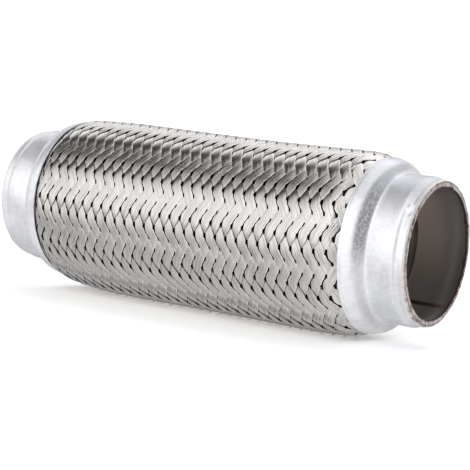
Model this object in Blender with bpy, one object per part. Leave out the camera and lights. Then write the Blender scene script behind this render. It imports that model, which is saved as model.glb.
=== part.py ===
"""Exhaust flex pipe: a braided bellows joint with a pressed steel cap at each end.

The pipe stands on its rear mouth. Its axis is Z, its origin is the middle of the
rear mouth, and all sizes are in metres. From the bore outwards it holds a sleeve
at each mouth, a strip-wound liner, the bellows, the woven braid and the end caps.
A place along the pipe is given by its depth, measured inwards from either mouth.
"""
import math

import bmesh
import bpy

MM = 0.001

# Fits: the clearance that two seated pieces keep, and the sides of a turned piece.
FIT_GAP = 0.2 * MM
END_GAP = 0.3 * MM
SHELL_SIDES = 32
BELLOWS_SIDES = 20

# The whole pipe.
LENGTH = 200.0 * MM
BORE_RADIUS = 25.8 * MM

# Mouth sleeves and the weld that closes each mouth. A sleeve stops inside its cap's lip.
SLEEVE_WALL = 0.6 * MM
SLEEVE_SETBACK = 3.0 * MM
WELD_HEIGHT = 1.0 * MM
WELD_CHAMFER = 0.5 * MM

# Liner, which carries on from the sleeves' bore.
LINER_STEP = 0.5 * MM
LINER_WALL = 1.0 * MM
LINER_GROOVE = 0.6 * MM
LINER_TURNS = 12

# Bellows. Its cuff stops inside the sleeve's end, and its waves keep clear of the liner.
BELLOWS_WALL = 0.35 * MM
BELLOWS_CUFF_SETBACK = 5.0 * MM
BELLOWS_FLARE_LENGTH = 3.0 * MM
BELLOWS_LINER_CLEARANCE = 1.6 * MM
BELLOWS_WAVE_HEIGHT = 4.5 * MM
CONVOLUTIONS = 12

# End caps. The collar is a hollow arc, a round one, a flat stretch and the lip's curl.
CAP_LENGTH = 25.0 * MM
CAP_WALL = 1.05 * MM
BAND_LENGTH = 3.0 * MM
NECK_STEP = 0.9 * MM
COLLAR_RISE = 5.6 * MM
COLLAR_ROOT_RADIUS = 2.0 * MM
COLLAR_CROWN_RADIUS = 6.5 * MM
COLLAR_FLAT = 1.46 * MM
LIP_CURL = 0.35 * MM
LIP_CURL_LENGTH = 1.35 * MM

# Braid, which is laid over the bellows' crests. It has a belly, a slight waist past it, and hangs to one side.
BRAID_CREST_CLEARANCE = 0.65 * MM
BRAID_SWELL_LENGTH = 25.0 * MM
BRAID_SWELL_POWER = 6
BRAID_BELLY_SHARE = 0.18
BRAID_WAIST = 0.65 * MM
BRAID_SAG = 1.1 * MM
BRAID_SAG_POWER = 5
BRAID_TUCK = 4.5 * MM
BRAID_TUCK_DROP = 0.9 * MM
RIBBONS_EACH_WAY = 24
RIBBON_PITCH = 5.0 * MM
RIBBON_RELIEF = 1.3 * MM
BRAID_BACK = 0.7 * MM
FIRST_ROW_ANGLE = math.radians(2.35)
ROWS_PER_WEAVE = 4
GAP_WIDTH = 0.9 * MM
GAP_HEIGHT = 1.8 * MM
PITCHES_PER_GAP = 3


def clear_of(radius, sides):
    """The inner radius, at its corners, of a ring that slides over a turned radius."""
    return (radius + FIT_GAP) / math.cos(math.pi / sides)


# Each piece slides over the one inside it, from the bore out to the braid.
SLEEVE_RADIUS = BORE_RADIUS + SLEEVE_WALL
CUFF_INNER = clear_of(SLEEVE_RADIUS, BELLOWS_SIDES)
CUFF_OUTER = CUFF_INNER + BELLOWS_WALL
BAND_INNER = clear_of(CUFF_OUTER, SHELL_SIDES)
BAND_OUTER = BAND_INNER + CAP_WALL
NECK_OUTER = BAND_OUTER + NECK_STEP
COLLAR_OUTER = NECK_OUTER + COLLAR_RISE
LINER_RADIUS = BORE_RADIUS + LINER_STEP
BELLOWS_ROOT_RADIUS = LINER_RADIUS + LINER_WALL + BELLOWS_LINER_CLEARANCE
BELLOWS_CREST_RADIUS = BELLOWS_ROOT_RADIUS + BELLOWS_WAVE_HEIGHT
BRAID_INNER = BELLOWS_CREST_RADIUS + BRAID_CREST_CLEARANCE + BRAID_SAG + BRAID_WAIST
BRAID_RADIUS = BRAID_INNER + BRAID_BACK + RIBBON_RELIEF

# The braid leaves each cap just inside its lip.
LIP_INNER = (COLLAR_OUTER - LIP_CURL - CAP_WALL) * math.cos(math.pi / SHELL_SIDES)
BRAID_END_RADIUS = LIP_INNER - FIT_GAP

# Depths from a mouth. What is inside a cap keeps its distance from the cap's lip.
COLLAR_RADII = COLLAR_ROOT_RADIUS + COLLAR_CROWN_RADIUS
COLLAR_SWEEP = math.acos(1 - COLLAR_RISE / COLLAR_RADII)
COLLAR_TOP_DEPTH = CAP_LENGTH - LIP_CURL_LENGTH - COLLAR_FLAT
NECK_LENGTH = COLLAR_TOP_DEPTH - COLLAR_RADII * math.sin(COLLAR_SWEEP)
MOUTH_DEPTH = WELD_HEIGHT + END_GAP
SLEEVE_LENGTH = CAP_LENGTH - SLEEVE_SETBACK
BELLOWS_CUFF_LENGTH = SLEEVE_LENGTH - BELLOWS_CUFF_SETBACK

# The net of crossings, in columns along the weave and rows round it.
WEAVE_LENGTH = LENGTH - 2 * CAP_LENGTH
ROWS = 2 * RIBBONS_EACH_WAY
COLUMNS = 2 * round(WEAVE_LENGTH / RIBBON_PITCH)
ROW_ANGLE = 2 * math.pi / ROWS
COLUMN_STEP = WEAVE_LENGTH / COLUMNS


def finish(name, colour, roughness, metallic):
    """One plain material."""
    material = bpy.data.materials.new(name)
    material.use_nodes = True
    shader = material.node_tree.nodes["Principled BSDF"]
    shader.inputs["Base Color"].default_value = (*colour, 1.0)
    shader.inputs["Roughness"].default_value = roughness
    shader.inputs["Metallic"].default_value = metallic
    material.diffuse_color = (*colour, 1.0)
    return material


def keep(name, mesh_data, material, sharp_angle=math.radians(35)):
    """Turns a finished bmesh into an object of its own."""
    bmesh.ops.recalc_face_normals(mesh_data, faces=mesh_data.faces)
    mesh = bpy.data.meshes.new(name)
    mesh_data.to_mesh(mesh)
    mesh_data.free()
    mesh.materials.append(material)
    mesh.shade_smooth()
    mesh.set_sharp_from_angle(angle=sharp_angle)
    piece = bpy.data.objects.new(name, mesh)
    bpy.context.collection.objects.link(piece)
    return piece


def turned(name, profile, sides, material):
    """Spins a closed outline of (depth, radius) points about the pipe's axis."""
    mesh_data = bmesh.new()
    points = [mesh_data.verts.new((radius, 0.0, height)) for height, radius in profile]
    edges = [mesh_data.edges.new(pair) for pair in zip(points, points[1:] + points[:1])]
    bmesh.ops.spin(mesh_data, geom=points + edges, cent=(0, 0, 0), axis=(0, 0, 1),
                   angle=2 * math.pi, steps=sides, use_merge=True)
    bmesh.ops.remove_doubles(mesh_data, verts=mesh_data.verts, dist=0.001 * MM)
    return keep(name, mesh_data, material)


def from_end(profile, front):
    """Places an outline that is measured inwards from a mouth at the front or rear mouth."""
    return [(LENGTH - depth if front else depth, radius) for depth, radius in profile]


def arc(centre, radius, start, end, steps):
    """Points on an arc of a turned profile, angles measured from the pipe's axis."""
    angles = [start + (end - start) * i / steps for i in range(steps + 1)]
    return [(centre[0] + radius * math.sin(a), centre[1] + radius * math.cos(a)) for a in angles]


def collar_sweep(outward):
    """The shoulder from neck to collar: a hollow arc, then a round one that meets it.

    outward shifts the line along its normal, so that 0 gives the outer face of the
    wall and minus the wall thickness its inner face.
    """
    hollow = (NECK_LENGTH, NECK_OUTER + COLLAR_ROOT_RADIUS)
    crown = (COLLAR_TOP_DEPTH, COLLAR_OUTER - COLLAR_CROWN_RADIUS)
    root = arc(hollow, COLLAR_ROOT_RADIUS - outward, math.pi, math.pi - COLLAR_SWEEP, 1)
    top = arc(crown, COLLAR_CROWN_RADIUS + outward, -COLLAR_SWEEP, 0.0, 3)
    return root[:1] + top


def end_cap(name, front, material):
    """A pressed cap: mouth band, step, neck, hollow shoulder, round collar and curled lip."""
    band_end = MOUTH_DEPTH + BAND_LENGTH
    curl_start = CAP_LENGTH - LIP_CURL_LENGTH
    outer = [(MOUTH_DEPTH, BAND_OUTER), (band_end, BAND_OUTER), (band_end + NECK_STEP / 2, NECK_OUTER)]
    outer += collar_sweep(0.0)
    outer += [(curl_start, COLLAR_OUTER), (CAP_LENGTH, COLLAR_OUTER - LIP_CURL)]
    inner = [(MOUTH_DEPTH, BAND_INNER), (band_end, BAND_INNER)]
    inner += [(band_end + NECK_STEP, NECK_OUTER - CAP_WALL)]
    inner += collar_sweep(-CAP_WALL)
    inner += [(CAP_LENGTH, COLLAR_OUTER - LIP_CURL - CAP_WALL)]
    return turned(name, from_end(outer + inner[::-1], front), SHELL_SIDES, material)


def mouth_weld(name, front, material):
    """The bead that closes the sleeve, the bellows cuff and the cap at a mouth."""
    profile = [
        (0.0, BORE_RADIUS),
        (0.0, BAND_OUTER - WELD_CHAMFER),
        (WELD_CHAMFER, BAND_OUTER),
        (WELD_HEIGHT, BAND_OUTER),
        (WELD_HEIGHT, BORE_RADIUS),
    ]
    return turned(name, from_end(profile, front), SHELL_SIDES, material)


def inner_sleeve(name, front, material):
    """A plain ring of tube that lines a mouth."""
    profile = [
        (MOUTH_DEPTH, BORE_RADIUS),
        (MOUTH_DEPTH, SLEEVE_RADIUS),
        (SLEEVE_LENGTH, SLEEVE_RADIUS),
        (SLEEVE_LENGTH, BORE_RADIUS),
    ]
    return turned(name, from_end(profile, front), SHELL_SIDES, material)


def bellows(material):
    """A thin tube with a plain cuff at each end and round waves between."""
    middle = (BELLOWS_ROOT_RADIUS + BELLOWS_CREST_RADIUS) / 2
    swing = (BELLOWS_CREST_RADIUS - BELLOWS_ROOT_RADIUS) / 2
    steps = 2 * CONVOLUTIONS
    step = WEAVE_LENGTH / steps
    waves = [(CAP_LENGTH + i * step, middle - swing * math.cos(i * math.pi)) for i in range(steps + 1)]
    # a wall that slopes in section needs more metal across it to keep its thickness
    slant = math.hypot(step, 2 * swing) / step
    flared = BELLOWS_CUFF_LENGTH + BELLOWS_FLARE_LENGTH
    root_inner = BELLOWS_ROOT_RADIUS - BELLOWS_WALL * slant
    outer_end = [(MOUTH_DEPTH, CUFF_OUTER), (BELLOWS_CUFF_LENGTH, CUFF_OUTER), (flared, BELLOWS_ROOT_RADIUS)]
    inner_end = [(MOUTH_DEPTH, CUFF_INNER), (BELLOWS_CUFF_LENGTH, CUFF_INNER), (flared, root_inner)]
    outer = outer_end + waves + from_end(outer_end[::-1], True)
    inner = inner_end + [(depth, radius - BELLOWS_WALL * slant) for depth, radius in waves]
    inner += from_end(inner_end[::-1], True)
    return turned("bellows", outer + inner[::-1], BELLOWS_SIDES, material)


def liner(material):
    """The strip-wound liner between the two sleeves, grooved where its turns hook together."""
    first = SLEEVE_LENGTH + END_GAP
    steps = 2 * LINER_TURNS
    step = (LENGTH - 2 * first) / steps
    outer = LINER_RADIUS + LINER_WALL
    bore = [(first + i * step, LINER_RADIUS + LINER_GROOVE * (i % 2)) for i in range(steps + 1)]
    profile = bore + [(LENGTH - first, outer), (first, outer)]
    return turned("inner_liner", profile, BELLOWS_SIDES, material)


def braid_radius(height):
    """Radius over the ribbons: it swells quickly from each lip and has a slight waist between."""
    depth = min(height, LENGTH - height) - CAP_LENGTH
    if depth < 0:
        return BRAID_END_RADIUS + BRAID_TUCK_DROP * depth / BRAID_TUCK
    share = min(depth / BRAID_SWELL_LENGTH, 1.0)
    swollen = BRAID_RADIUS - (BRAID_RADIUS - BRAID_END_RADIUS) * (1 - share) ** BRAID_SWELL_POWER
    along = (height - CAP_LENGTH) / WEAVE_LENGTH
    past_belly = max(0.0, (along - BRAID_BELLY_SHARE) / (1 - BRAID_BELLY_SHARE))
    return swollen - BRAID_WAIST * share * (1 - math.cos(2 * math.pi * past_belly)) / 2


def braid_sag(height):
    """How far the braid hangs to one side, between the ends that its caps hold."""
    off_middle = abs(2 * (height - CAP_LENGTH) / WEAVE_LENGTH - 1)
    return BRAID_SAG * max(0.0, 1 - off_middle ** BRAID_SAG_POWER)


def is_crossing(row, column):
    """Two ribbons cross at every other point of the net, and leave a gap at the rest."""
    return (row + column) % 2 == 0


def braid_point(row, column, radius):
    """A point of the net, where whole rows run along the pipe and columns round it."""
    angle = FIRST_ROW_ANGLE + row * ROW_ANGLE
    height = CAP_LENGTH + column * COLUMN_STEP
    return (radius * math.cos(angle) + braid_sag(height), radius * math.sin(angle), height)


class Net:
    """A skin of the braid, laid over its net of crossings, with corners shared by its faces."""

    def __init__(self, mesh_data, depth, gaps):
        self.mesh_data = mesh_data
        self.depth = depth
        self.gaps = gaps
        self.corners = {}

    def radius(self, row, column):
        """The skin is high where ribbons cross and low in the hollows between."""
        height = CAP_LENGTH + column * COLUMN_STEP
        relief = RIBBON_RELIEF if self.depth or not is_crossing(row, column) else 0.0
        return braid_radius(height) - relief - self.depth

    def corner(self, row, column, towards=(0, 0)):
        """The corner at a net point, or the edge of its gap on the side of a neighbour."""
        row %= ROWS
        if (row, column) not in self.gaps:
            towards = (0, 0)
        key = (row, column, towards)
        if key not in self.corners:
            radius = self.radius(row, column)
            half_row = GAP_HEIGHT / 2 / (radius * ROW_ANGLE)
            half_column = GAP_WIDTH / 2 / COLUMN_STEP
            place = braid_point(row + towards[0] * half_row, column + towards[1] * half_column, radius)
            self.corners[key] = self.mesh_data.verts.new(place)
        return self.corners[key]

    def patch(self, points):
        """One face on net points, where a gap at a corner adds the edge that cuts it off."""
        verts = []
        count = len(points)
        for i, point in enumerate(points):
            for other in (points[i - 1], points[(i + 1) % count]):
                towards = tuple(max(-1, min(1, b - a)) for a, b in zip(point, other))
                vert = self.corner(*point, towards)
                if vert not in verts:
                    verts.append(vert)
        if len(verts) > 2:
            self.mesh_data.faces.new(verts)


def woven_patch(skin, row, column):
    """One small square of the woven face, split so that ribbons run on and grooves lie between.

    Rows come in fours: two where the left-hand ribbons lie on top and two where the
    right-hand ones do. Inside such a pair the square splits along the ribbon.
    """
    low, high = (row, column), (row + 1, column + 1)
    left, right = (row + 1, column), (row, column + 1)
    ring = [low, right, high, left]
    phase = row % ROWS_PER_WEAVE
    along_left = phase == ROWS_PER_WEAVE - 1
    along_right = phase == 1
    crossing_low = is_crossing(row, column)
    if (along_right and crossing_low) or (along_left and not crossing_low):
        crossings = [p for p in ring if is_crossing(*p)]
        for hollow in (p for p in ring if not is_crossing(*p)):
            split_face(skin, crossings, hollow)
    else:
        hollows = [p for p in ring if not is_crossing(*p)]
        for crossing in (p for p in ring if is_crossing(*p)):
            groove_face(skin, hollows, crossing)
        groove_strip(skin, hollows, [p for p in ring if is_crossing(*p)])


def side(point, other):
    """The step of one net unit from a point to its neighbour."""
    return (other[0] - point[0], other[1] - point[1])


def split_face(skin, crossings, hollow):
    """A flank of a ribbon: two crossings and the hollow beside them."""
    first, second = crossings
    verts = [skin.corner(*first), skin.corner(*second), skin.corner(*hollow, side(hollow, second))]
    near = skin.corner(*hollow, side(hollow, first))
    if near is not verts[-1]:
        verts.append(near)
    skin.mesh_data.faces.new(verts)


def groove_face(skin, hollows, crossing):
    """The slope from a crossing down to the groove between two hollows."""
    verts = [skin.corner(*hollow, side(hollow, crossing)) for hollow in hollows]
    skin.mesh_data.faces.new(verts + [skin.corner(*crossing)])


def groove_strip(skin, hollows, crossings):
    """The narrow floor of a groove where a gap opens at either of its ends."""
    verts = []
    for hollow, order in zip(hollows, (crossings, crossings[::-1])):
        for crossing in order:
            vert = skin.corner(*hollow, side(hollow, crossing))
            if vert not in verts:
                verts.append(vert)
    if len(verts) > 2:
        skin.mesh_data.faces.new(verts)


def braid(material):
    """The woven sleeve: one wall, with ribbons that pass over two and under two outside."""
    gap_rows = range(0, ROWS, ROWS_PER_WEAVE)
    gap_columns = range(PITCHES_PER_GAP, COLUMNS, 2 * PITCHES_PER_GAP)
    gaps = {(row, column) for row in gap_rows for column in gap_columns if not is_crossing(row, column)}
    mesh_data = bmesh.new()

    outer = Net(mesh_data, 0.0, gaps)
    for row in range(ROWS):
        for column in range(COLUMNS):
            woven_patch(outer, row, column)

    inner = Net(mesh_data, BRAID_BACK, gaps)
    stops = sorted({0, COLUMNS, *gap_columns})
    for row in range(0, ROWS, 2):
        for start, end in zip(stops, stops[1:]):
            ring = [(row, start), (row + 2, start), (row + 2, end), (row, end)]
            inner.patch(ring)

    for row, column in gaps:
        around = ((1, 0), (0, 1), (-1, 0), (0, -1))
        for one, two in zip(around, around[1:] + around[:1]):
            wall = [outer.corner(row, column, one), outer.corner(row, column, two),
                    inner.corner(row, column, two), inner.corner(row, column, one)]
            mesh_data.faces.new(wall)

    for column, height in ((0, CAP_LENGTH - BRAID_TUCK), (COLUMNS, LENGTH - CAP_LENGTH + BRAID_TUCK)):
        tucked_end(outer, inner, column, height)
    return keep("outer_braid", mesh_data, material, math.radians(20))


def tucked_end(outer, inner, column, height):
    """The plain end of the braid, held between the cap and the bellows."""
    mesh_data = outer.mesh_data
    place = (height - CAP_LENGTH) / COLUMN_STEP
    radius = braid_radius(height)
    inner_radius = radius - RIBBON_RELIEF - BRAID_BACK
    rim = [mesh_data.verts.new(braid_point(row, place, radius)) for row in range(ROWS)]
    back = [mesh_data.verts.new(braid_point(row, place, inner_radius)) for row in range(0, ROWS, 2)]
    for row in range(ROWS):
        after = (row + 1) % ROWS
        mesh_data.faces.new([outer.corner(row, column), outer.corner(after, column), rim[after], rim[row]])
    for i, row in enumerate(range(0, ROWS, 2)):
        after = (i + 1) % len(back)
        mesh_data.faces.new([inner.corner(row, column), inner.corner(row + 2, column), back[after], back[i]])
        mesh_data.faces.new([rim[row], rim[row + 1], rim[(row + 2) % ROWS], back[after], back[i]])


for old in list(bpy.data.objects):
    bpy.data.objects.remove(old)

coated_steel = finish("coated_steel", (0.74, 0.75, 0.78), 0.38, 0.9)
braid_steel = finish("braid_steel", (0.62, 0.60, 0.57), 0.3, 1.0)
inner_steel = finish("inner_steel", (0.30, 0.27, 0.24), 0.4, 0.9)
weld_metal = finish("weld_metal", (0.42, 0.33, 0.29), 0.55, 0.8)

for end, is_front in (("rear", False), ("front", True)):
    mouth_weld(f"{end}_mouth_weld", is_front, weld_metal)
    inner_sleeve(f"{end}_inner_sleeve", is_front, inner_steel)
    end_cap(f"{end}_end_cap", is_front, coated_steel)
liner(inner_steel)
bellows(inner_steel)
braid(braid_steel)
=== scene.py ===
import math
import random

import bpy
from mathutils import Matrix, Vector, noise


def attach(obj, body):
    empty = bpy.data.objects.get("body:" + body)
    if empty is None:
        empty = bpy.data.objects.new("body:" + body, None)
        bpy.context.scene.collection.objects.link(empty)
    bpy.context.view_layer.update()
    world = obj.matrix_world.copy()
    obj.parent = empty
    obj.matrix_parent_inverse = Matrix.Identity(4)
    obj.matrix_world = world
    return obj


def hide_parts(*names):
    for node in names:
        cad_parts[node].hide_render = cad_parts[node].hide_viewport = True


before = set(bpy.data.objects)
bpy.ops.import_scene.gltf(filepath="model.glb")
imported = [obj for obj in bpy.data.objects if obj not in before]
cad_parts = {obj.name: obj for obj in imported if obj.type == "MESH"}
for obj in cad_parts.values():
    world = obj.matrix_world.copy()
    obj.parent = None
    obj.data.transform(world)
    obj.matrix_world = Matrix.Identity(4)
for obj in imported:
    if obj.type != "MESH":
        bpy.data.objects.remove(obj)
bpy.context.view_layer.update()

# The inner sleeves are short plain tubes of stainless sheet. One sits inside each mouth, where the exhaust
# tube slides in. Its inner end is curled a little, so that nothing catches on it. Its colour carries painted
# light: it is painted brighter deeper in, with a warm painted light on one side whose mottle stands for heat
# tint, a painted highlight along the inner end's edge and a dark painted line along one side, where a
# reflection ends.
MM = 0.001
LENGTH = 200 * MM
BORE_RADIUS = 25.8 * MM
SLEEVE_WALL = 0.6 * MM
SLEEVE_LENGTH = 22 * MM
SLEEVE_CURL = 0.22 * MM
SLEEVE_SIDES = 128
SLEEVE_REFLECTION_EDGE_ANGLE = math.radians(38)
SLEEVE_COLOUR = (0.080, 0.074, 0.068)
SLEEVE_PAINTED_WARM_LIGHT = (0.85, 0.66, 0.56)
SLEEVE_PAINTED_LIGHT_ANGLE = math.radians(120)
SLEEVE_PAINTED_LIGHT_DEEP = (0.52, 0.47, 0.43)
PAINTED_DARK = (0.055, 0.030, 0.026)
SLEEVE_PAINTED_HIGHLIGHT = (1.0, 0.98, 0.94)


class Signal:
    """An output socket of a finish. Arithmetic on it adds Math nodes to the same finish."""

    def __init__(self, socket):
        self.socket = socket

    def node(self, kind, settings, values, output=0):
        """Adds any other node: its settings come first, then what fills or feeds its sockets."""
        tree = self.socket.id_data
        made = tree.nodes.new("ShaderNode" + kind)
        for name, value in settings.items():
            if name == "stops":
                ramp = made.color_ramp
                while len(ramp.elements) < len(value):
                    ramp.elements.new(0.5)
                for element, (position, colour) in zip(ramp.elements, value):
                    element.position = position
                    element.color = (*colour, 1.0)
            elif name == "interpolation":
                made.color_ramp.interpolation = value
            else:
                setattr(made, name, value)
        for name, value in values.items():
            if isinstance(value, Signal):
                tree.links.new(value.socket, made.inputs[name])
            else:
                made.inputs[name].default_value = value
        return Signal(made.outputs[output])

    def math(self, operation, *others):
        values = {0: self}
        values.update({i + 1: other for i, other in enumerate(others)})
        return self.node("Math", {"operation": operation}, values)

    def __add__(self, other):
        return self.math("ADD", other)

    def __mul__(self, other):
        return self.math("MULTIPLY", other)

    def __sub__(self, other):
        return self.math("SUBTRACT", other)

    def __rsub__(self, other):
        return (self * -1) + other

    __radd__ = __add__
    __rmul__ = __mul__

    def between(self, low, high):
        """0 below low, 1 above high, and an even slope between."""
        ends = {"Value": self, "From Min": low, "From Max": high, "To Min": 0.0, "To Max": 1.0}
        return self.node("MapRange", {"clamp": True}, ends)

    def mix(self, one, other):
        """A colour: one where this signal is 0 and other where it is 1."""
        values = {0: self}
        for index, colour in ((6, one), (7, other)):
            values[index] = colour if isinstance(colour, Signal) else (*colour, 1.0)
        return self.node("Mix", {"data_type": "RGBA"}, values, output=2)

    def grain(self, scale, detail=2.0, roughness=0.5):
        """Noise laid over this place."""
        values = {"Vector": self, "Scale": scale, "Detail": detail, "Roughness": roughness}
        return self.node("TexNoise", {}, values)

    def feeds(self, shader, name):
        self.socket.id_data.links.new(self.socket, shader.inputs[name])


def new_finish(name, colour, roughness, metallic):
    """A material with its shader and the place on the piece, in metres."""
    material = bpy.data.materials.new(name)
    material.use_nodes = True
    shader = material.node_tree.nodes["Principled BSDF"]
    shader.inputs["Base Color"].default_value = (*colour, 1.0)
    shader.inputs["Roughness"].default_value = roughness
    shader.inputs["Metallic"].default_value = metallic
    place = Signal(material.node_tree.nodes.new("ShaderNodeTexCoord").outputs["Object"])
    return material, shader, place


def axis_of(place, name):
    """One axis of a place."""
    return place.node("SeparateXYZ", {}, {0: place}, output=name)


def bumped(shader, height, distance, strength=1.0):
    """Raises the surface by a signal from 0 to 1, over a distance in metres."""
    values = {"Height": height, "Distance": distance, "Strength": strength}
    height.node("Bump", {}, values).feeds(shader, "Normal")


def new_piece(name, points, faces, material):
    """A smooth mesh object of the pipe, which moves with the whole pipe."""
    mesh = bpy.data.meshes.new(name)
    mesh.from_pydata(points, [], faces)
    mesh.materials.append(material)
    mesh.shade_smooth()
    piece = bpy.data.objects.new(name, mesh)
    bpy.context.collection.objects.link(piece)
    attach(piece, "root")
    return piece


def ring_point(radius, angle, height):
    return (radius * math.cos(angle), radius * math.sin(angle), height)


def spun(profile, sides, uneven=None):
    """Points and faces of a closed outline of (depth, radius), spun about the pipe's axis.

    uneven moves a point: it is given the depth, the radius and the angle, and returns
    the new depth and radius.
    """
    points = []
    for side in range(sides):
        angle = 2 * math.pi * side / sides
        for depth, radius in profile:
            if uneven:
                depth, radius = uneven(depth, radius, angle)
            points.append((radius, angle, depth))
    count = len(profile)
    faces = []
    for side in range(sides):
        here = side * count
        there = (side + 1) % sides * count
        for i in range(count):
            after = (i + 1) % count
            faces.append((here + i, there + i, there + after, here + after))
    return points, faces


def at_mouth(points, faces, front):
    """Places what is measured inwards from a mouth at the front or the rear mouth."""
    if front:
        return [ring_point(r, a, LENGTH - depth) for r, a, depth in points], faces
    return [ring_point(r, a, depth) for r, a, depth in points], [face[::-1] for face in faces]


sleeve_steel, shader, place = new_finish("sleeve_steel", SLEEVE_COLOUR, 0.5, 0.15)
bearing = axis_of(place, "Y").math("ARCTAN2", axis_of(place, "X"))
# Painted reflection edge: a dark line painted along one side of the bore, where a reflection ends.
reflection_edge = 1 - (bearing - SLEEVE_REFLECTION_EDGE_ANGLE).math("ABSOLUTE").between(0.02, 0.07)
inward = (axis_of(place, "Z") - LENGTH / 2).math("ABSOLUTE")
# Painted light: the sleeve is painted brighter deeper in, and warm and pale on one side, more so with depth;
# its mottle stands for heat tint.
deep = (1 - inward.between(LENGTH / 2 - SLEEVE_LENGTH, LENGTH / 2 - 2 * MM)).math("POWER", 1.2)
warm_light_mask = (bearing - SLEEVE_PAINTED_LIGHT_ANGLE).math("COSINE").between(0.55, 1.0) * deep
cloudy = warm_light_mask * (place.grain(60, 2) * 0.5 + 0.35)
painted_light_and_tint = cloudy.mix(deep.mix(SLEEVE_COLOUR, SLEEVE_PAINTED_LIGHT_DEEP), SLEEVE_PAINTED_WARM_LIGHT)
with_reflection_edge = reflection_edge.mix(painted_light_and_tint, PAINTED_DARK)
# Painted highlight: a near-white line along the sleeve's inner end, where its end face would catch the
# light.
at_edge = 1 - inward.between(LENGTH / 2 - SLEEVE_LENGTH + 0.2 * MM, LENGTH / 2 - SLEEVE_LENGTH + 0.7 * MM)
at_edge.mix(with_reflection_edge, SLEEVE_PAINTED_HIGHLIGHT).feeds(shader, "Base Color")
(place.grain(420, 2) * 0.16 + 0.42).feeds(shader, "Roughness")

sleeve_profile = [
    (0.9 * MM, BORE_RADIUS + SLEEVE_WALL),
    (0.9 * MM, BORE_RADIUS),
    (8 * MM, BORE_RADIUS),
    (SLEEVE_LENGTH - 1.4 * MM, BORE_RADIUS),
    (SLEEVE_LENGTH - 0.9 * MM, BORE_RADIUS - SLEEVE_CURL * 0.7),
    (SLEEVE_LENGTH - 0.5 * MM, BORE_RADIUS - SLEEVE_CURL),
    (SLEEVE_LENGTH, BORE_RADIUS - SLEEVE_CURL * 0.3),
    (SLEEVE_LENGTH, BORE_RADIUS + SLEEVE_WALL * 0.6),
    (SLEEVE_LENGTH - 0.6 * MM, BORE_RADIUS + SLEEVE_WALL),
]
for end, front in (("rear", False), ("front", True)):
    points, faces = at_mouth(*spun(sleeve_profile, SLEEVE_SIDES), front)
    sleeve = new_piece(f"{end}_sleeve_tube", points, faces, sleeve_steel)
    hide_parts(f"{end}_inner_sleeve")

# The liner is a hose wound from one strip of thin stainless, whose edges hook together turn by turn. It
# keeps the hot gas off the bellows, runs from one sleeve to the other, and is dull and brown from heat.
LINER_RADIUS = 26.3 * MM
LINER_WALL = 1.0 * MM
LINER_PITCH = 4.6 * MM
LINER_HOOK = 0.45 * MM
LINER_SIDES = 72
LINER_STEPS = 7
LINER_COLOUR = (0.31, 0.28, 0.26)
LINER_STAIN = (0.55, 0.45, 0.40)

liner_steel, shader, place = new_finish("liner_steel", LINER_COLOUR, 0.45, 0.4)
stain = place.grain(45, 3).between(0.4, 0.65)
stain.mix(LINER_COLOUR, LINER_STAIN).feeds(shader, "Base Color")
(place.grain(300, 2) * 0.2 + 0.35).feeds(shader, "Roughness")

start = SLEEVE_LENGTH + 0.4 * MM
rings = round((LENGTH - 2 * start) / LINER_PITCH * LINER_STEPS)
hook_shape = (0.0, 0.05, 0.1, 0.9, 1.0, 1.0, 0.5)
points = []
for side in range(LINER_SIDES):
    turned = side / LINER_SIDES
    for ring in range(rings + 1):
        height = start + (LENGTH - 2 * start) * ring / rings
        phase = (height / LINER_PITCH + turned) % 1.0
        hook = LINER_HOOK * hook_shape[int(phase * LINER_STEPS) % LINER_STEPS]
        points.append(ring_point(LINER_RADIUS + hook, 2 * math.pi * turned, height))
    for ring in range(rings, -1, -1):
        height = start + (LENGTH - 2 * start) * ring / rings
        points.append(ring_point(LINER_RADIUS + LINER_WALL, 2 * math.pi * turned, height))
count = 2 * (rings + 1)
faces = []
for side in range(LINER_SIDES):
    here = side * count
    there = (side + 1) % LINER_SIDES * count
    for i in range(count):
        after = (i + 1) % count
        faces.append((here + i, here + after, there + after, there + i))
liner = new_piece("strip_wound_liner", points, faces, liner_steel)
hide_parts("inner_liner")

# The bellows is a thin tube pressed into round waves, with a plain cuff at each end that lies on the
# sleeve. It makes the joint gas-tight and bends with the engine. Only its waves show, through the gaps of
# the braid, and they are painted near-black as the shade under it, with a faint paler mottle.
BELLOWS_WALL = 0.35 * MM
BELLOWS_CUFF_RADIUS = 27.1 * MM
BELLOWS_CUFF_LENGTH = 17 * MM
BELLOWS_ROOT_RADIUS = 28.9 * MM
BELLOWS_WAVE_HEIGHT = 4.5 * MM
BELLOWS_WAVES = 26
BELLOWS_WAVE_STEPS = 8
BELLOWS_SIDES = 72
BELLOWS_WAVES_START = 25 * MM
BELLOWS_PAINTED_SHADE = (0.05, 0.046, 0.042)
BELLOWS_SHADE_MOTTLE = (0.09, 0.08, 0.07)

bellows_steel, shader, place = new_finish("bellows_steel", BELLOWS_PAINTED_SHADE, 0.5, 0.8)
# Painted shade: the bellows is painted near-black, with a faint paler mottle.
place.grain(70, 2).mix(BELLOWS_PAINTED_SHADE, BELLOWS_SHADE_MOTTLE).feeds(shader, "Base Color")

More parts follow.
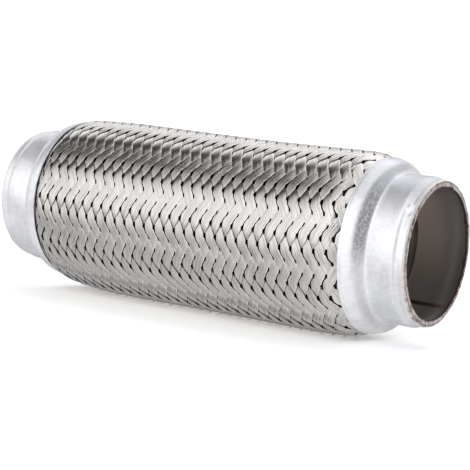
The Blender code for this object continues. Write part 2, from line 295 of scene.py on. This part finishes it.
steps = BELLOWS_WAVES * BELLOWS_WAVE_STEPS
outer = [(1.2 * MM, BELLOWS_CUFF_RADIUS), (BELLOWS_CUFF_LENGTH, BELLOWS_CUFF_RADIUS)]
outer += [(BELLOWS_CUFF_LENGTH + 3 * MM, BELLOWS_ROOT_RADIUS)]
for step in range(steps + 1):
    rise = (1 - math.cos(2 * math.pi * step / BELLOWS_WAVE_STEPS)) / 2
    depth = BELLOWS_WAVES_START + (LENGTH - 2 * BELLOWS_WAVES_START) * step / steps
    outer.append((depth, BELLOWS_ROOT_RADIUS + BELLOWS_WAVE_HEIGHT * rise))
outer += [(LENGTH - depth, radius) for depth, radius in outer[2::-1]]
profile = outer + [(depth, radius - BELLOWS_WALL) for depth, radius in outer[::-1]]
points, faces = at_mouth(*spun(profile, BELLOWS_SIDES), True)
waved = new_piece("waved_bellows", points, faces, bellows_steel)
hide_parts("bellows")

# Each end cap is pressed from aluminised steel sheet: a thin mouth band, a small step, a straight neck
# and a hollow shoulder that swells into a round collar. Its lip is rolled in over the braid's end to hold
# it. The coating is satin and clouded with grey. Its upper side is painted greyer as shade, and one patch of
# the hollow is painted dark as shade, with a pitted tarnish mottle in it.
BAND_RADIUS = 28.62 * MM
BAND_END = 3.9 * MM
CAP_WALL = 1.05 * MM
NECK_RADIUS = 29.5 * MM
NECK_END = 15.4 * MM
# depth and radius along the shoulder and the round collar, in millimetres
COLLAR_LINE = ((15.2, 29.5), (15.9, 29.6), (16.4, 29.83), (16.85, 30.25), (17.25, 30.83), (17.65, 31.55),
               (18.05, 32.25), (18.5, 32.95), (19.0, 33.42), (19.6, 33.8), (20.4, 34.15), (21.2, 34.43),
               (22.0, 34.64), (22.8, 34.82), (23.5, 34.95), (23.85, 34.97), (24.05, 34.9), (24.25, 34.96),
               (24.5, 35.06))
CAP_LENGTH = 25 * MM
CAP_SIDES = 192
CAP_COLOUR = (0.965, 0.97, 0.995)
CAP_GREY = (0.60, 0.61, 0.66)
CAP_TARNISH_AND_SHADE = (0.30, 0.31, 0.34)
TARNISH_SHADE_DEPTH = 17.9 * MM
TARNISH_SHADE_ANGLE = math.radians(-107)
CAP_SHADE_SIDE_ANGLE = math.radians(-165)
BLOB_ANGLE = math.radians(-123)
BLOB_DEPTH = 3.2 * MM
BLOB_HEIGHT = 0.8 * MM
PIT_DEPTH = 2.6 * MM
PIT_OFFSET = 2.3 * MM
PIT_SINK = 0.55 * MM
GROOVE_DEPTH = 2.75 * MM
GROOVE_SINK = 0.36 * MM
CAP_WAVER = 0.10 * MM


def wavered(angle, depth, scale, seed):
    """Soft unevenness of a pressed sheet, from -1 to 1."""
    at = Vector((math.cos(angle) * scale, math.sin(angle) * scale, depth / (9 * MM) + seed))
    return noise.noise(at)


def bulge(distance):
    """A round bump that fades out at a distance of 1."""
    return max(0.0, 1 - distance * distance) ** 2


def pressed(depth, radius, angle, front):
    """The cap's small faults: a soft waver, a rolled groove in the band and a blob of weld beside it."""
    seed = 3.7 if front else 11.2
    radius += CAP_WAVER * wavered(angle, depth, 1.6, seed)
    if front and depth < 6 * MM and radius > BAND_RADIUS - 0.6 * MM:
        off = (angle - BLOB_ANGLE + math.pi) % (2 * math.pi) - math.pi
        across = off * BAND_RADIUS
        from_blob = math.hypot(across / (1.7 * MM), (depth - BLOB_DEPTH) / (1.5 * MM))
        from_pit = math.hypot((across - PIT_OFFSET) / (1.0 * MM), (depth - PIT_DEPTH) / (1.0 * MM))
        radius += BLOB_HEIGHT * bulge(from_blob) - PIT_SINK * bulge(from_pit)
        if off < 0:
            fade = min(1.0, -off / 0.15)
            radius -= GROOVE_SINK * fade * bulge((depth - GROOVE_DEPTH) / (0.75 * MM))
    return depth, radius


coated_steel, shader, place = new_finish("coated_steel", CAP_COLOUR, 0.3, 0.5)
cloud = place.grain(60, 2, 0.5)
speck = place.grain(620, 1, 0.5)
smear = place.grain(200, 2, 0.5)
bearing = axis_of(place, "Y").math("ARCTAN2", axis_of(place, "X"))
# Painted shade: the cap's upper side is painted greyer, on top of the grey clouding and specks.
upper_side_shade = (bearing - CAP_SHADE_SIDE_ANGLE).math("COSINE").between(0.80, 0.97)
grey = cloud.between(0.44, 0.62) * 0.4 + speck.between(0.3, 0.75) * 0.3 + upper_side_shade * 0.5
# Painted shade with tarnish: one patch of the hollow is painted dark, with a pitted mottle in it.
off_hollow = (axis_of(place, "Z") - LENGTH / 2).math("ABSOLUTE") - (LENGTH / 2 - TARNISH_SHADE_DEPTH)
hollow = 1 - off_hollow.math("ABSOLUTE").between(0.8 * MM, 2.2 * MM)
patch = (bearing - TARNISH_SHADE_ANGLE).math("COSINE").between(0.84, 0.95)
pitted = place.grain(1000, 2, 0.6).between(0.44, 0.56)
tarnish_and_shade = hollow * patch * (pitted * 0.5 + 0.2)
tarnish_and_shade.mix(grey.mix(CAP_COLOUR, CAP_GREY), CAP_TARNISH_AND_SHADE).feeds(shader, "Base Color")
(smear * 0.2 + hollow * 0.08 + 0.24).feeds(shader, "Roughness")
bumped(shader, smear, 0.04 * MM, 0.4)

band = [(1.05 * MM, BAND_RADIUS - 0.25 * MM), (1.2 * MM, BAND_RADIUS - 0.05 * MM)]
band += [(1.45 * MM, BAND_RADIUS)]
band += [(depth * MM, BAND_RADIUS) for depth in (1.8, 2.2, 2.6, 3.0)]
band += [(3.4 * MM, BAND_RADIUS + 0.02 * MM), (BAND_END, BAND_RADIUS + 0.14 * MM)]
band += [(4.3 * MM, BAND_RADIUS + 0.34 * MM), (4.7 * MM, BAND_RADIUS + 0.56 * MM)]
band += [(5.2 * MM, NECK_RADIUS - 0.12 * MM), (5.8 * MM, NECK_RADIUS)]
neck = [(depth * MM, NECK_RADIUS) for depth in (6.8, 8, 9.5, 11, 12.5, 13.6)]
collar = [(depth * MM, radius * MM) for depth, radius in COLLAR_LINE]
lip = [(24.8 * MM, 35.06 * MM), (24.95 * MM, 34.9 * MM), (CAP_LENGTH, 34.6 * MM), (24.9 * MM, 34.4 * MM)]
lip += [(24.4 * MM, 34.3 * MM)]
inside = [(depth + 0.5 * CAP_WALL, radius - 0.8 * CAP_WALL) for depth, radius in collar[-6:0:-1]]
inside += [(NECK_END, NECK_RADIUS - CAP_WALL), (5.6 * MM, NECK_RADIUS - CAP_WALL)]
inside += [(1.2 * MM, BAND_RADIUS - CAP_WALL)]
cap_profile = band + neck + collar + lip + inside
for end, front in (("rear", False), ("front", True)):
    shape = spun(cap_profile, CAP_SIDES, lambda d, r, a, front=front: pressed(d, r, a, front))
    points, faces = at_mouth(*shape, front)
    faces = [face[::-1] for face in faces]
    cap = new_piece(f"{end}_pressed_cap", points, faces, coated_steel)
    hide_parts(f"{end}_end_cap")

# A weld closes each mouth: it melts the edges of sleeve, bellows and cap into one rough ring. It is left as
# welded, brown and pink with heat, with an uneven edge. Its inside edge, where it turns into the bore, has
# painted shade.
WELD_SIDES = 360
WELD_COLOUR = (0.24, 0.155, 0.13)
WELD_PALE = (0.88, 0.79, 0.76)
WELD_EDGE = (0.80, 0.77, 0.76)
WELD_CRACK = (0.10, 0.065, 0.055)


def melted(depth, radius, angle):
    """The ripples and small lumps of the bead."""
    lump = noise.noise(Vector((math.cos(angle) * 9, math.sin(angle) * 9, radius / (1.6 * MM))))
    fine = noise.noise(Vector((math.cos(angle) * 34, math.sin(angle) * 34, radius / (0.7 * MM))))
    depth += 0.16 * MM * lump + 0.10 * MM * fine
    return max(depth, 0.0), radius + 0.12 * MM * lump + 0.06 * MM * fine


weld_metal, shader, place = new_finish("weld_metal", WELD_COLOUR, 0.5, 0.7)
scale_marks = place.grain(330, 4, 0.7)
off_axis = (axis_of(place, "X").math("POWER", 2) + axis_of(place, "Y").math("POWER", 2)).math("SQRT")
ripple = off_axis + (scale_marks - 0.5) * (0.9 * MM)
crack = 1 - (ripple - 27.75 * MM).math("ABSOLUTE").between(0.06 * MM, 0.22 * MM)
mottled = scale_marks.between(0.36, 0.54).mix(WELD_COLOUR, WELD_PALE)
beside = axis_of(place, "X").math("DIVIDE", off_axis).between(0.1, 0.8)
rimmed = (ripple.between(27.95 * MM, 28.25 * MM) * (1 - beside * 0.8)).mix(mottled, WELD_EDGE)
cracked = (crack * 0.75).mix(rimmed, WELD_CRACK)
# Painted shade: the weld's inside edge, where it turns into the bore, is painted near-black, over a wider
# band on the +Y side.
across = axis_of(place, "Y").math("DIVIDE", off_axis)
inner = (ripple - across * (0.65 * MM)).between(25.95 * MM, 26.45 * MM)
inner.mix(PAINTED_DARK, cracked).feeds(shader, "Base Color")
(place.grain(800, 2) * 0.4 + 0.3).feeds(shader, "Roughness")
bumped(shader, place.grain(1100, 3), 0.12 * MM, 0.7)

# depth and radius round the bead, from outside to inside, in millimetres
WELD_LINE = ((1.5, 28.35), (1.15, 28.58), (0.8, 28.56), (0.5, 28.42), (0.32, 28.18), (0.24, 27.85),
             (0.2, 27.45), (0.2, 27.05), (0.22, 26.7), (0.26, 26.4), (0.32, 26.12), (0.48, 25.9),
             (0.85, 25.78), (1.5, 25.9))
weld_profile = [(depth * MM, radius * MM) for depth, radius in WELD_LINE]
for end, front in (("rear", False), ("front", True)):
    points, faces = at_mouth(*spun(weld_profile, WELD_SIDES, melted), front)
    bead = new_piece(f"{end}_weld_bead", points, faces, weld_metal)
    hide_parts(f"{end}_mouth_weld")

# The braid is woven from 48 flat ribbons of eight bright stainless wires, 24 winding each way. Each passes
# over two and under two, and all are tucked under the caps' lips. The braid carries the pull that would
# stretch the bellows, and it hangs a millimetre off the pipe's axis.
RIBBONS_EACH_WAY = 24
RIBBONS_IN_PIECE = 12
WIRES = 8
ROW_ANGLE = math.radians(7.5)
FIRST_ROW_ANGLE = math.radians(1.05)
COLUMN_STEP = 2.487 * MM
COLUMNS = 60
TUCK_COLUMNS = 1.7
RIBBON_SPACING = 4.46
RIBBON_THICKNESS = 0.36 * MM
WEAVE_SWING = 0.36 * MM
WEAVE_FLATNESS = 1.4
EDGE_BOW = 0.42 * MM
ROW_DRIFT = 0.13 * MM
NET_SHIFT = 1.25 * MM
NET_LEAN = 1.75 * MM
WIRE_GROOVE = 0.065 * MM
RIBBON_CROWN = 0.06 * MM
BRAID_SAG = 1.1 * MM
TIGHT_ROWS = {-1: -4.5, 1: -18.5}
TIGHT_CROWN = 0.12 * MM
FLAWS = 0.015
FLOATS_IN_RIBBON = 40
WIRE_SUNK = 0.2 * MM
BRAID_COLOUR = (0.78, 0.755, 0.73)
BRAID_SHADE = (0.50, 0.483, 0.467)
BRAID_PAINTED_SHADE = (0.012, 0.011, 0.010)
STATIONS = (-1.5, -1.2, -1.0, -0.8, -0.5, -0.22, 0.0, 0.22, 0.5, 0.8, 1.0, 1.2, 1.5, 1.8, 2.2)
# height above the rear mouth and radius over the ribbons, in millimetres
BRAID_GIRTH = ((20, 32.4), (23, 33.1), (25, 34.2), (26.5, 35.2), (28.5, 36.2), (34, 36.9), (43, 37.45),
               (52, 37.72), (66, 37.65), (82, 37.45), (104, 37.2), (124, 37.08), (140, 37.2), (150, 37.28),
               (160, 37.22), (166, 37.02), (169, 36.75), (171, 36.35), (175, 34.7), (180, 32.5), (183, 30.4))
# rows from the middle between two rows of large gaps, and the gap between neighbours there, in millimetres
RIBBON_GAPS = ((0, 0.50), (0.33, 0.55), (0.5, 1.4), (0.67, 0.55), (1.0, 0.40), (1.3, 0.46), (1.5, 1.05),
               (1.7, 0.5), (2.0, 0.30))


def along_table(table, at):
    """A value between the places where it was set."""
    for (low, one), (high, other) in zip(table, table[1:]):
        if at <= high:
            return one + (other - one) * min(max((at - low) / (high - low), 0.0), 1.0)
    return table[-1][1]


def sag(height):
    """How far the braid hangs towards the side that it lay on."""
    off = abs(height - LENGTH / 2) / (LENGTH / 2 - CAP_LENGTH)
    return BRAID_SAG * max(0.0, 1 - off ** 5)


def wrapped(row, middle):
    """Rows from a middle that comes back every four rows, from -2 to 2."""
    return (row - middle + 2) % 4 - 2


def tightness(row, turn):
    """1 along the row where the ribbons of this turn are pushed together, and 0 away from it."""
    return bulge(((row - TIGHT_ROWS[turn] + 24) % 48 - 24) / 1.5)


def gap_at(row, turn, end):
    """The gap between two neighbouring ribbons, a little wider near the caps."""
    usual = along_table(RIBBON_GAPS, abs(wrapped(row, 0.5)))
    return usual * (1 - 0.85 * tightness(row, turn)) * (1 + 0.25 * end)


def lift(row, middle):
    """1 where a ribbon lies on top, about its middle, and -1 where it passes beneath."""
    return math.tanh(WEAVE_FLATNESS * math.cos(math.pi / 2 * (row - middle))) / math.tanh(WEAVE_FLATNESS)


def bow(row, middle):
    """Ribbons that lie side by side on top bend towards the rear between their gaps."""
    off = abs(wrapped(row, middle))
    return EDGE_BOW * (1 + math.cos(2 * math.pi * off)) / 2 if off < 0.5 else 0.0


def ribbon_rows(first_row, turn, middle):
    """The places along a ribbon, in rows, where its mesh has a ring."""
    low = first_row - TUCK_COLUMNS if turn > 0 else first_row - COLUMNS - TUCK_COLUMNS
    high = low + COLUMNS + 2 * TUCK_COLUMNS
    rows = [low, high]
    for float_count in range(math.floor(low / 4) - 1, math.ceil(high / 4) + 2):
        rows += [4 * float_count + middle + station for station in STATIONS]
    return sorted(row for row in rows if low <= row <= high)


class RibbonLayer:
    """The mesh of some ribbons that wind one way: points, faces, creases, lifts and wire places."""

    def __init__(self, turn, seed):
        self.turn = turn
        self.middle = -0.5 if turn < 0 else 1.5
        self.random = random.Random(seed)
        self.points = []
        self.faces = []
        self.creases = []
        self.lifts = []
        self.wires = []

    def place(self, row, side, first_row, drop, rise):
        """A point at a row along the ribbon and a side from -1 to 1, below the top by drop."""
        column = self.turn * (row - first_row) - self.turn * side / 2
        own_row = row + side / 2
        height = CAP_LENGTH + COLUMN_STEP * column - bow(own_row, self.middle)
        height -= ROW_DRIFT * math.cos(math.pi / 2 * (own_row - 2.5))
        angle = FIRST_ROW_ANGLE + ROW_ANGLE * own_row
        height += NET_SHIFT + NET_LEAN * math.cos(angle)
        radius = along_table(BRAID_GIRTH, height / MM) * MM - drop + rise
        x, y, z = ring_point(radius, angle, height)
        self.points.append((x + sag(height), y, z))

    def flaw(self):
        """The first of two wires that are sunk in one float, or None in most floats."""
        return self.random.randrange(1, WIRES - 3) if self.random.random() < FLAWS else None

    def ribbon(self, number):
        """Adds one ribbon."""
        first_row = 2 * number
        sinks = [self.random.uniform(0.0, 0.03) * MM for _ in range(WIRES)]
        drift = self.random.uniform(0, 100)
        flaws = [self.flaw() for _ in range(FLOATS_IN_RIBBON)]
        first_point = len(self.points)
        rows = ribbon_rows(first_row, self.turn, self.middle)
        for row in rows:
            column = self.turn * (row - first_row)
            end = 1 - min(1.0, max(0.0, min(column, COLUMNS - column)) / 6)
            swing = WEAVE_SWING * (1 - 0.4 * end)
            high = lift(row, self.middle)
            shift = (0.035 + 0.13 * end) * noise.noise(Vector((row * 0.45, drift, 0)))
            rise = (0.06 + 0.12 * end) * MM * noise.noise(Vector((row * 0.6, drift, 7)))
            right = 1 - gap_at(row + 0.5, self.turn, end) / RIBBON_SPACING
            left = 1 - gap_at(row - 0.5, self.turn, end) / RIBBON_SPACING
            crown = RIBBON_CROWN + TIGHT_CROWN * tightness(row, self.turn)
            number_of_float = math.floor((row - self.middle + 2) / 4) % FLOATS_IN_RIBBON
            flaw = flaws[number_of_float] if high > 0.7 else None
            for i in range(2 * WIRES + 1):
                across = i / WIRES - 1
                side = shift + (right if across > 0 else left) * across
                groove = WIRE_GROOVE if i % 2 == 0 else sinks[i // 2]
                sunk = flaw is not None and i in (2 * flaw + 1, 2 * flaw + 5)
                groove += WIRE_SUNK if sunk else 0.0
                self.place(row, side, first_row, swing * (1 - high) + groove + crown * across ** 4, rise)
                self.lifts.append(0.15 if sunk else 0.5 + 0.5 * high)
                self.wires.append((number * (WIRES + 2) + i / 2, row * 0.5))
            for across, side in ((1, shift + right), (-1, shift - left)):
                drop = swing * (1 - high) + crown + RIBBON_THICKNESS
                self.place(row, side, first_row, drop, rise)
                self.lifts.append(0.4 + 0.5 * high)
                self.wires.append((number * (WIRES + 2) + (WIRES if across > 0 else 0), row * 0.5))
        self.skin(first_point, len(rows))

    def skin(self, first_point, ring_count):
        """Faces between the rings of one ribbon, with a crease between its wires."""
        size = 2 * WIRES + 3
        flip = slice(None) if self.turn < 0 else slice(None, None, -1)
        for ring in range(ring_count - 1):
            here = first_point + ring * size
            there = here + size
            for i in range(size):
                after = (i + 1) % size
                self.faces.append((here + i, there + i, there + after, here + after)[flip])
            self.creases += [(here + i, there + i) for i in range(0, 2 * WIRES + 1, 2)]
        last = first_point + (ring_count - 1) * size
        self.faces.append(tuple(range(first_point, first_point + size))[flip])
        self.faces.append(tuple(range(last, last + size))[::-1][flip])


braid_steel, shader, place = new_finish("braid_steel", BRAID_COLOUR, 0.3, 1.0)
raised = place.node("Attribute", {"attribute_name": "lift"}, {}, output="Fac")
strand = place.node("UVMap", {"uv_map": "wires"}, {})
wire = axis_of(strand, "X")
# Painted shade: the valleys between wires are painted darker, part way to the near-black.
valley_shade = (wire.math("FRACT") - 0.5).math("ABSOLUTE").between(0.30, 0.5)
along = axis_of(strand, "Y")
streak = place.node("CombineXYZ", {}, {0: wire.math("FLOOR") * 3.7, 1: along * 0.6})
own = streak.grain(1.0, 1).between(0.30, 0.62)
worn = place.grain(90, 2, 0.5).between(0.3, 0.7)
bright = (own * 0.75 + worn * 0.25).mix(BRAID_SHADE, BRAID_COLOUR)
valley_shaded = (valley_shade * 0.6).mix(bright, BRAID_PAINTED_SHADE)
# Painted shade: where a ribbon passes beneath another, on its low side walls and in sunk wires, its colour
# goes to near-black.
raised.between(0.03, 0.27).mix(BRAID_PAINTED_SHADE, valley_shaded).feeds(shader, "Base Color")
(own * -0.06 + 0.22).feeds(shader, "Roughness")

for hand, turn, seed in (("left", -1, 5), ("right", 1, 8)):
    for half in range(RIBBONS_EACH_WAY // RIBBONS_IN_PIECE):
        layer = RibbonLayer(turn, seed + half)
        for number in range(half * RIBBONS_IN_PIECE, (half + 1) * RIBBONS_IN_PIECE):
            layer.ribbon(number)
        name = f"{hand}_hand_ribbons_{half + 1}"
        ribbons = new_piece(name, layer.points, layer.faces, braid_steel)
        mesh = ribbons.data
        mesh.attributes.new("lift", "FLOAT", "POINT").data.foreach_set("value", layer.lifts)
        corners = mesh.uv_layers.new(name="wires").data
        for loop in mesh.loops:
            corners[loop.index].uv = layer.wires[loop.vertex_index]
        creased = {frozenset(ends) for ends in layer.creases}
        sharp = [frozenset(edge.vertices) in creased for edge in mesh.edges]
        mesh.attributes.new("sharp_edge", "BOOLEAN", "EDGE").data.foreach_set("value", sharp)
        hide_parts("outer_braid")

# The stage: a pale floor under the standing pipe, and a pale table top along the side that it lay on in
# the photograph. Both are seen by the camera alone, so that they carry the soft shadow and don't dim the
# metal.
TABLE_ANGLE = math.radians(4.4)
TABLE_DISTANCE = 39.27 * MM
TABLE_TILT = math.radians(0.48)
STAGE_REACH = 4.0
FLOOR_PALENESS = 0.5
FLOOR_GLOW = 0.65
TABLE_PALENESS = 0.76


def stage_sheet(name, matrix, paleness, glow):
    """A wide pale sheet whose front catches the shadow and whose back isn't seen."""
    mesh = bpy.data.meshes.new(name)
    corners = [(-1, -1, 0), (1, -1, 0), (1, 1, 0), (-1, 1, 0)]
    mesh.from_pydata([[STAGE_REACH * c for c in corner] for corner in corners], [], [(0, 1, 2, 3)])
    sheet = bpy.data.objects.new(name, mesh)
    bpy.context.collection.objects.link(sheet)
    sheet.matrix_world = matrix
    material = bpy.data.materials.new(name)
    material.use_nodes = True
    tree = material.node_tree
    tree.nodes.remove(tree.nodes["Principled BSDF"])
    behind = Signal(tree.nodes.new("ShaderNodeNewGeometry").outputs["Backfacing"])
    matte = behind.node("BsdfDiffuse", {}, {"Color": (paleness, paleness, paleness, 1.0)})
    doubled = behind.node("AddShader", {}, {0: matte, 1: matte})
    lamp = behind.node("Emission", {}, {"Strength": glow})
    lit = behind.node("AddShader", {}, {0: doubled, 1: lamp})
    clear = behind.node("BsdfTransparent", {}, {})
    whole = behind.node("MixShader", {}, {0: behind, 1: lit, 2: clear})
    tree.links.new(whole.socket, tree.nodes["Material Output"].inputs["Surface"])
    mesh.materials.append(material)
    sheet.visible_diffuse = False
    sheet.visible_glossy = False
    sheet.visible_transmission = False
    sheet.visible_shadow = False
    return sheet


stage_sheet("pale_floor", Matrix.Identity(4), FLOOR_PALENESS, FLOOR_GLOW)
normal = Vector((-math.cos(TABLE_ANGLE), -math.sin(TABLE_ANGLE), -math.tan(TABLE_TILT))).normalized()
facing = normal.to_track_quat("Z", "Y").to_matrix().to_4x4()
stage_sheet("pale_table", Matrix.Translation(-normal * TABLE_DISTANCE) @ facing, TABLE_PALENESS, 0.0)

# The light is a round studio: bright in front, a dark gap above the camera's side, and pale elsewhere. The
# camera sees plain white, and stands where the photograph was taken from, turned as it was.
world = bpy.data.worlds.new("studio")
bpy.context.scene.world = world
world.use_nodes = True
# angle round the pipe from the camera towards the photograph's top, in degrees, and the light that comes
# from low down, from level with the pipe and from above its mouth
STUDIO = ((-180, 0.46, 0.50, 0.40), (-164, 0.46, 0.52, 0.45), (-148, 0.26, 0.46, 0.50),
          (-140, 0.19, 0.50, 0.52), (-132, 0.84, 0.70, 0.56), (-124, 0.60, 0.66, 0.60),
          (-116, 0.46, 0.70, 0.65), (-106, 0.42, 0.78, 0.70), (-92, 0.74, 0.95, 0.80),
          (-76, 0.76, 0.98, 0.85), (-30, 0.54, 1.15, 0.75), (-22, 0.72, 1.20, 0.60),
          (-14, 1.28, 1.30, 0.45), (-5, 1.40, 1.40, 0.24), (12, 1.24, 1.52, 0.15),
          (28, 1.27, 1.60, 0.13), (42, 0.95, 1.50, 0.14), (52, 0.72, 1.40, 0.18),
          (60, 0.16, 1.25, 0.20), (66, 0.04, 1.15, 0.20), (72, 0.05, 1.14, 0.20),
          (77, 0.22, 1.13, 0.19), (82, 0.05, 1.12, 0.18), (96, 0.05, 1.12, 0.18),
          (104, 0.52, 1.25, 0.30), (111, 1.12, 1.50, 0.50), (122, 1.25, 1.80, 0.68),
          (132, 1.40, 1.85, 0.74), (141, 1.02, 1.50, 0.76), (150, 0.82, 1.15, 0.78),
          (172, 0.46, 0.85, 0.80), (180, 0.44, 0.50, 0.40))
tree = world.node_tree
way = Signal(tree.nodes.new("ShaderNodeTexCoord").outputs["Generated"])
around = (axis_of(way, "X") * -1).math("ARCTAN2", axis_of(way, "Y") * -1) * (0.5 / math.pi) + 0.5
glows = []
for level in (1, 2, 3):
    stops = [(0.5 + stop[0] / 360, (stop[level] / 2,) * 3) for stop in STUDIO]
    glows.append(around.node("ValToRGB", {"stops": stops, "interpolation": "LINEAR"}, {0: around}))
upward = axis_of(way, "Z")
lower = upward.between(-0.36, -0.24).mix(glows[0], glows[1])
glow = upward.between(0.26, 0.46).mix(lower, glows[2])
multiply = {"data_type": "RGBA", "blend_type": "MULTIPLY"}
doubled = glow.node("Mix", multiply, {0: 1.0, 6: glow, 7: (2, 2, 2, 1)}, 2)
seen = Signal(tree.nodes.new("ShaderNodeLightPath").outputs["Is Camera Ray"])
seen.mix(doubled, (1.0, 1.0, 1.0)).feeds(tree.nodes["Background"], "Color")

camera = bpy.data.objects.new("camera", bpy.data.cameras.new("camera"))
bpy.context.collection.objects.link(camera)
CAMERA_PLACE = Vector((0, -502.3, 431.5)) * MM
CAMERA_RIGHT = Vector((-0.15231917, 0.53770421, 0.82926055))
CAMERA_UP = Vector((-0.98829586, -0.07575544, -0.13241))
FOCAL_PIXELS = 1428.76
PICTURE_PIXELS = 470
turned = Matrix((CAMERA_RIGHT, CAMERA_UP, CAMERA_RIGHT.cross(CAMERA_UP))).transposed().to_4x4()
camera.matrix_world = Matrix.Translation(CAMERA_PLACE) @ turned
camera.data.lens = camera.data.sensor_width * FOCAL_PIXELS / PICTURE_PIXELS
camera.data.clip_start = 0.01
camera.data.clip_end = 50
bpy.context.scene.camera = camera
bpy.context.scene.view_settings.view_transform = "Standard"
